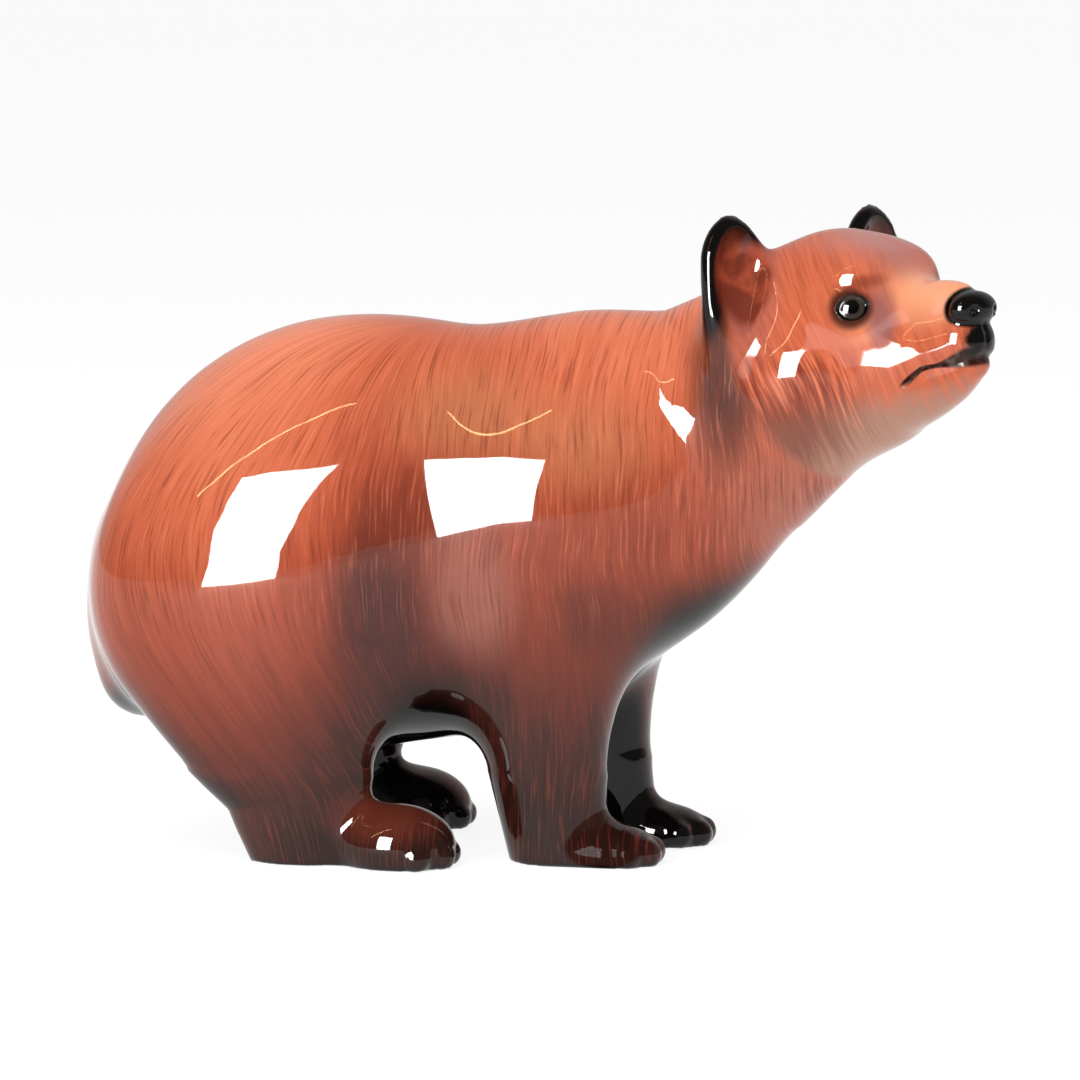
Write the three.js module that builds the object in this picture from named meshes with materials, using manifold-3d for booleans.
// A glazed porcelain figure of a walking bear, its raised head turned to its right.
//
// The whole figure is one casting. It is modelled as a sculptor would build it in clay: rounded
// lumps are pressed together with soft joins, hollows are pared out of them, and the four feet are
// ground flat so that the figure stands. The clay is a distance field, negative inside, and a skin
// of triangles is laid over it, finer on the head and the paws than on the smooth back.
//
// Millimetres. +X runs from tail to nose, +Y to the bear's left, +Z up, and the feet stand on z = 0.
import * as THREE from "three";
import { mergeVertices } from "three/addons/utils/BufferGeometryUtils.js";
import Module from "manifold-3d";

// Driving dimensions. A run is a row of balls, each [x, y, z, radius], that a limb is swept through.
// `squeeze` narrows it from side to side, and `softness` is the width of the fillet where it joins.

const RIGHT = -1;
const LEFT = 1;

const TRUNK = {
  squeeze: 0.8,
  run: [
    [-46.6, 0, 42, 25], // rump
    [-30, 0, 49, 34], // loins
    [-10, 0, 50.4, 31.4], // belly
    [10, -0.5, 57.6, 27.2], // shoulders
    [24, -2, 64.1, 20.9], // root of the neck
    [36, -5, 72, 18],
    [47, -7.5, 79, 15], // nape
  ],
};

const TAIL = {
  squeeze: 1.2,
  softness: 3,
  run: [[-61, 0, 46, 9], [-64.4, 0, 34, 8.2], [-63.4, 0, 26, 7.6]],
};

// The legs are given for the left side. `stride` is how far each foot stands forward of its place,
// and the leg above it follows less and less up to the hip.
const HIND_LEG = {
  stride: { [RIGHT]: 0, [LEFT]: -6.2 },
  hipHeight: 42,
  squeeze: 0.56,
  softness: 6,
  run: [
    [-41.4, 15, 40.6, 26], // haunch
    [-38.8, 18.4, 27, 18.4], // thigh
    [-34.8, 18.5, 15, 12.6], // hock
    [-34, 18.5, 9, 10.8],
    [-33.6, 18.5, 3, 8.6], // heel
  ],
  foot: { at: [-18.4, 18.5, 3], radii: [9, 7.4, 6.4], softness: 3 },
};

const FORELEG = {
  stride: { [RIGHT]: 0, [LEFT]: 4.4 },
  hipHeight: 42,
  squeeze: 0.78,
  softness: 6,
  run: [
    [5, 12, 54, 18], // shoulder
    [3, 12.5, 36, 14], // elbow
    [3.3, 10.8, 20, 10.3], // forearm
    [3.8, 10, 11, 8.8], // wrist
    [5, 10, 2, 7.8],
  ],
  foot: { at: [13.2, 10, 1.4], radii: [7.8, 6.2, 4.8], softness: 3 },
};

// Toes stand round the front of each foot, `spread` degrees in all. Their tips are `tipHeight` radii
// above the ground, and their roots are `gather` times as far apart as their tips.
const TOES = {
  count: 4,
  spread: 116,
  radius: 2.3,
  proud: 0.9,
  length: 5,
  rise: 1.6,
  tipHeight: 0.8,
  gather: 0.6,
  softness: 0.4,
};

const HEAD = { at: [50, -8.5, 82.6], turn: -32.6, raise: 17.4, softness: 7 };

// Places on the head are measured from the middle of the skull: forward, to the side, up. The head
// is the same on both sides.
const SKULL = { at: [-1, 0, 0.5], radii: [16.5, 11.6, 14.6] };
const CHEEK = { at: [-4.4, 7, -5], radii: [9.6, 9.2, 8.2], softness: 2.5 };
const JAW = {
  squeeze: 1,
  softness: 2.5,
  run: [[1, 0, -8, 7.2], [9, 0, -8.9, 7.9], [15, 0, -9.3, 6.4], [21.2, 0, -9.4, 3.7]],
};
const MUZZLE = {
  squeeze: 1,
  softness: 3.5,
  run: [[3, 0, -6.8, 10.6], [9.5, 0, -7.2, 9], [15, 0, -7.1, 6.9], [21.2, 0, -6.7, 4.9]],
};
const BRIDGE = { at: [14.5, 0, -0.2], radii: [10.5, 5, 3.8], softness: 3 };
const LIP_CREASE = 0.6; // softness of the mouth's crease, where the muzzle meets the jaw
const NOSE = { at: [24.6, 0, -2.5], radii: [3, 4.3, 2.7], softness: 0.8 };
const BROW = { at: [7.8, 4.8, 6.8], radii: [4.8, 4.4, 3.4], softness: 5 };
const EYE = { at: [8.3, 7.9, 1.8], radii: [3.1, 3.1, 2.9], softness: 1.2 };
const EAR = {
  at: [-7, 15.8, 10],
  facing: 4,
  droop: 12,
  squeeze: 0.5,
  softness: 3.5,
  run: [[0.2, 0, -10.4, 3], [0, 0, -3.8, 6], [0, 0, 3.6, 5.8], [0, 0, 8, 2.7]],
  hollow: { depth: 2.9, shrink: 0.84, squeeze: 0.6, softness: 0.8 },
};

// The skin's cells are `cell` wide on the head and paws, and some times as wide elsewhere. Each of
// its points is moved down the slope of the clay, measured over `probe`, until it lies on it.
const GRAIN = { fine: 1, medium: 2, coarse: 4 };
const SKIN = { cell: 1.85, low: [-84.5, -42.9, -12.4], high: [84, 42, 110] };
const SETTLING = { probe: 0.01, steps: 4, leastSlope: 0.25 };
const FINE = { headFrom: 26, headAbove: 74, pawsBelow: 11 };
const MEDIUM = { neckFrom: 22, neckAbove: 58, legsBelow: 28 };
const SOLE_WASTE = 2; // clay left under the feet, ground away at the end
const GRINDSTONE = { width: 200, height: 20 };
const WELD = 1e-4; // points nearer than this are one
const MID_LENGTH = 1; // the middle of the figure, which becomes x = 0
const GLAZE = { color: 0x8a3f28, roughness: 0.12, metalness: 0 };

// Clay. Each lump is a function that gives the distance from (x, y, z) to its surface.

function ball([cx, cy, cz], [rx, ry, rz]) {
  return (x, y, z) => {
    const u = (x - cx) / rx;
    const v = (y - cy) / ry;
    const w = (z - cz) / rz;
    const reach = Math.hypot(u, v, w);
    const slope = Math.hypot(u / rx, v / ry, w / rz);
    return slope > 0 ? (reach * (reach - 1)) / slope : -Math.min(rx, ry, rz);
  };
}

// The tapered skin stretched over two balls.
function link([ax, ay, az, ra], [bx, by, bz, rb]) {
  const dx = bx - ax;
  const dy = by - ay;
  const dz = bz - az;
  const length2 = dx * dx + dy * dy + dz * dz;
  const taper = ra - rb;
  const slant2 = length2 - taper * taper;
  return (x, y, z) => {
    const px = x - ax;
    const py = y - ay;
    const pz = z - az;
    const along = px * dx + py * dy + pz * dz;
    const beyond = along - length2;
    const side2 = length2 * (length2 * (px * px + py * py + pz * pz) - along * along);
    const turn = Math.sign(taper) * taper * taper * side2;
    if (Math.sign(beyond) * slant2 * beyond * beyond * length2 > turn)
      return Math.sqrt(side2 + beyond * beyond * length2) / length2 - rb;
    if (Math.sign(along) * slant2 * along * along * length2 < turn)
      return Math.sqrt(side2 + along * along * length2) / length2 - ra;
    return (Math.sqrt((side2 * slant2) / length2) + along * taper) / length2 - ra;
  };
}

// A limb swept along a smooth curve through the balls of a run.
function swept({ run, squeeze }, stepsPerBall = 5) {
  const places = new THREE.CatmullRomCurve3(run.map(([x, y, z]) => new THREE.Vector3(x, y, z)));
  const radii = new THREE.CatmullRomCurve3(run.map(([, , , r], i) => new THREE.Vector3(i, r, 0)));
  const steps = (run.length - 1) * stepsPerBall;
  const balls = [];
  for (let i = 0; i <= steps; i++) balls.push([...places.getPoint(i / steps), radii.getPoint(i / steps).y]);
  const links = balls.slice(1).map((far, i) => {
    const near = balls[i];
    const middle = (near[1] + far[1]) / 2;
    const lump = link(near, far);
    return (x, y, z) => lump(x, middle + (y - middle) / squeeze, z) * Math.min(squeeze, 1);
  });
  return (x, y, z) => links.reduce((least, lump) => Math.min(least, lump(x, y, z)), Infinity);
}

function join(softness, ...lumps) {
  return (x, y, z) => {
    let d = lumps[0](x, y, z);
    for (let i = 1; i < lumps.length; i++) {
      const e = lumps[i](x, y, z);
      const overlap = Math.max(softness - Math.abs(d - e), 0) / softness;
      d = Math.min(d, e) - (overlap * overlap * softness) / 4;
    }
    return d;
  };
}

function pare(softness, lump, tool) {
  const left = join(softness, (...p) => -lump(...p), tool);
  return (x, y, z) => -left(x, y, z);
}

// Moves a lump to its place, rolled about x, then pitched about y, then turned about z, in degrees.
function placed(at, roll, pitch, turn, lump) {
  const angles = [roll, pitch, turn].map(THREE.MathUtils.degToRad);
  const pose = new THREE.Matrix4().makeRotationFromEuler(new THREE.Euler(...angles, "ZYX"));
  const m = pose.setPosition(...at).invert().elements;
  return (x, y, z) =>
    lump(
      m[0] * x + m[4] * y + m[8] * z + m[12],
      m[1] * x + m[5] * y + m[9] * z + m[13],
      m[2] * x + m[6] * y + m[10] * z + m[14],
    );
}

const mirrored = (lump) => (x, y, z) => lump(x, Math.abs(y), z);

// The bear.

function foot({ at: [x, y, z], radii }) {
  const toes = [];
  for (let i = 0; i < TOES.count; i++) {
    const angle = THREE.MathUtils.degToRad(TOES.spread * (i / (TOES.count - 1) - 0.5));
    const reach = [radii[0], radii[1]].map((r) => r - TOES.radius + TOES.proud);
    const tip = [
      x + reach[0] * Math.cos(angle),
      y + reach[1] * Math.sin(angle),
      TOES.radius * TOES.tipHeight,
    ];
    const root = [
      tip[0] - TOES.length * Math.cos(angle),
      y + (tip[1] - y) * TOES.gather,
      tip[2] + TOES.rise,
    ];
    toes.push(link([...root, TOES.radius], [...tip, TOES.radius]));
  }
  return join(TOES.softness, ball([x, y, z], radii), ...toes);
}

function leg({ stride, hipHeight, squeeze, run, foot: sole }, side) {
  const stepped = ([x, y, z, ...radius]) => {
    const share = Math.max(0, 1 - z / hipHeight);
    return [x + stride[side] * share, y * side, z, ...radius];
  };
  const limb = swept({ run: run.map(stepped), squeeze });
  return join(sole.softness, limb, foot({ ...sole, at: stepped(sole.at) }));
}

// An ear stands on its own axes: x across it, y out of its hollow, z up to its tip.
function ear() {
  const { depth, shrink, squeeze, softness } = EAR.hollow;
  const scooped = EAR.run.map(([x, y, z, r]) => [x, y + depth, z, r * shrink]);
  const cup = pare(softness, swept(EAR), swept({ run: scooped, squeeze }));
  return placed(EAR.at, -EAR.droop, 0, EAR.facing - 90, cup);
}

function head() {
  let clay = join(CHEEK.softness, ball(SKULL.at, SKULL.radii), ball(CHEEK.at, CHEEK.radii));
  const snout = join(BRIDGE.softness, swept(MUZZLE), ball(BRIDGE.at, BRIDGE.radii));
  const face = join(MUZZLE.softness, clay, snout);
  const chin = join(JAW.softness, clay, swept(JAW));
  clay = join(LIP_CREASE, face, chin);
  for (const { at, radii, softness } of [BROW, NOSE, EYE]) clay = join(softness, clay, ball(at, radii));
  clay = join(EAR.softness, clay, ear());
  return placed(HEAD.at, 0, -HEAD.raise, HEAD.turn, mirrored(clay));
}

function bearClay() {
  let clay = join(TAIL.softness, swept(TRUNK), swept(TAIL));
  for (const side of [RIGHT, LEFT])
    for (const limb of [HIND_LEG, FORELEG]) clay = join(limb.softness, clay, leg(limb, side));
  clay = join(HEAD.softness, clay, head());
  return (x, y, z) => Math.max(clay(x, y, z), -SOLE_WASTE - z);
}

// Skin. One vertex lies in each cell that the surface crosses, with a face round each crossed edge.

function skinOf(field, { cell, low, high }, grainAt) {
  const block = GRAIN.coarse;
  const n = low.map((lo, i) => block * Math.ceil((high[i] - lo) / cell / block));
  const at = (i, axis) => low[axis] + i * cell;
  const stride = [1, n[0] + 1, (n[0] + 1) * (n[1] + 1)];
  const keyOf = (c) => c[0] + c[1] * stride[1] + c[2] * stride[2];
  const value = new Float64Array(stride[2] * (n[2] + 1));
  for (let k = 0; k <= n[2]; k++)
    for (let j = 0; j <= n[1]; j++)
      for (let i = 0; i <= n[0]; i++) value[keyOf([i, j, k])] = field(at(i, 0), at(j, 1), at(k, 2));
  const crossings = (start, step, size) => {
    let count = 0;
    for (let i = 0; i < size; i++) {
      const here = value[start + i * step];
      const next = value[start + (i + 1) * step];
      count += here < 0 !== next < 0;
    }
    return count;
  };
  // A cell is used whole where it is in a coarse zone and no edge or face line enters the clay twice.
  const wholeCells = new Map();
  const isWhole = (corner, size) => {
    const id = `${corner}/${size}`;
    if (!wholeCells.has(id)) {
      let whole = grainAt(...corner.map((v, axis) => at(v + size / 2, axis))) >= size;
      for (let axis = 0; axis < 3 && whole; axis++) {
        const [u, v] = [stride[(axis + 1) % 3], stride[(axis + 2) % 3]];
        for (let j = 0; j <= size && whole; j++)
          for (let k = 0; k <= size && whole; k++)
            whole = crossings(keyOf(corner) + j * u + k * v, stride[axis], size) < 2;
      }
      wholeCells.set(id, whole);
    }
    return wholeCells.get(id);
  };
  const leafOf = (c) => {
    for (const size of [GRAIN.coarse, GRAIN.medium]) {
      const corner = c.map((v) => v - (v % size));
      if (isWhole(corner, size)) return [keyOf(corner), size];
    }
    return [keyOf(c), GRAIN.fine];
  };
  const leaves = new Map();
  const faces = [];
  const ring = [[-1, -1], [0, -1], [0, 0], [-1, 0]];
  for (let axis = 0; axis < 3; axis++) {
    const u = (axis + 1) % 3;
    const v = (axis + 2) % 3;
    const p = [0, 0, 0];
    for (p[2] = 1; p[2] < n[2]; p[2]++)
      for (p[1] = 1; p[1] < n[1]; p[1]++)
        for (p[0] = 1; p[0] < n[0]; p[0]++) {
          const round = ring.map(([du, dv]) => {
            const c = [...p];
            c[u] += du;
            c[v] += dv;
            return leafOf(c);
          });
          const size = Math.min(...round.map((leaf) => leaf[1]));
          if (p[axis] % size) continue;
          const a = value[keyOf(p)];
          const b = value[keyOf(p) + size * stride[axis]];
          if (a < 0 === b < 0) continue;
          const keys = round.map((leaf) => leaf[0]).filter((k, i, all) => k !== all[(i + 1) % 4]);
          if (keys.length < 3) continue;
          const cross = new THREE.Vector3(...p.map((c, i) => at(c, i)));
          cross.setComponent(axis, cross.getComponent(axis) + (a / (a - b)) * size * cell);
          for (const key of keys) {
            if (!leaves.has(key)) leaves.set(key, { sum: new THREE.Vector3(), count: 0 });
            leaves.get(key).sum.add(cross);
            leaves.get(key).count++;
          }
          faces.push(a < 0 ? keys : keys.reverse());
        }
  }
  const vertices = [];
  for (const leaf of leaves.values()) {
    leaf.index = vertices.length;
    vertices.push(settled(field, leaf.sum.divideScalar(leaf.count)));
  }
  const triangles = [];
  for (const keys of faces) {
    const [a, b, c, d] = keys.map((key) => leaves.get(key).index);
    if (d === undefined) triangles.push(a, b, c);
    else if (vertices[a].distanceTo(vertices[c]) < vertices[b].distanceTo(vertices[d]))
      triangles.push(a, b, c, a, c, d);
    else triangles.push(b, c, d, b, d, a);
  }
  return new THREE.BufferGeometry().setFromPoints(vertices).setIndex(triangles);
}

function settled(field, p) {
  const h = SETTLING.probe;
  for (let step = 0; step < SETTLING.steps; step++) {
    const d = field(p.x, p.y, p.z);
    const slope = new THREE.Vector3(
      field(p.x + h, p.y, p.z) - d,
      field(p.x, p.y + h, p.z) - d,
      field(p.x, p.y, p.z + h) - d,
    ).divideScalar(h);
    p.addScaledVector(slope, -d / Math.max(slope.lengthSq(), SETTLING.leastSlope));
  }
  return p;
}

function grainAt(x, y, z) {
  if ((x > FINE.headFrom && z > FINE.headAbove) || z < FINE.pawsBelow) return GRAIN.fine;
  if ((x > MEDIUM.neckFrom && z > MEDIUM.neckAbove) || z < MEDIUM.legsBelow) return GRAIN.medium;
  return GRAIN.coarse;
}

const skin = skinOf(bearClay(), SKIN, grainAt);

const wasm = await Module();
wasm.setup();

function solidOf(geometry) {
  const bare = geometry.clone();
  bare.deleteAttribute("normal");
  bare.deleteAttribute("uv");
  const merged = mergeVertices(bare, WELD);
  return new wasm.Manifold(
    new wasm.Mesh({
      numProp: 3,
      vertProperties: merged.attributes.position.array,
      triVerts: new Uint32Array(merged.index.array),
    }),
  );
}

function geometryOf(solid) {
  const mesh = solid.getMesh();
  return new THREE.BufferGeometry()
    .setAttribute("position", new THREE.BufferAttribute(mesh.vertProperties, 3))
    .setIndex(new THREE.BufferAttribute(mesh.triVerts, 1));
}

const { width, height } = GRINDSTONE;
const grindstone = new THREE.BoxGeometry(width, width, height).translate(0, 0, -height / 2);
const standing = solidOf(skin.translate(-MID_LENGTH, 0, 0)).subtract(solidOf(grindstone));
const bear = new THREE.Mesh(geometryOf(standing), new THREE.MeshStandardMaterial(GLAZE));
bear.name = "bear";

const figure = new THREE.Group();
figure.add(bear);
export default figure;
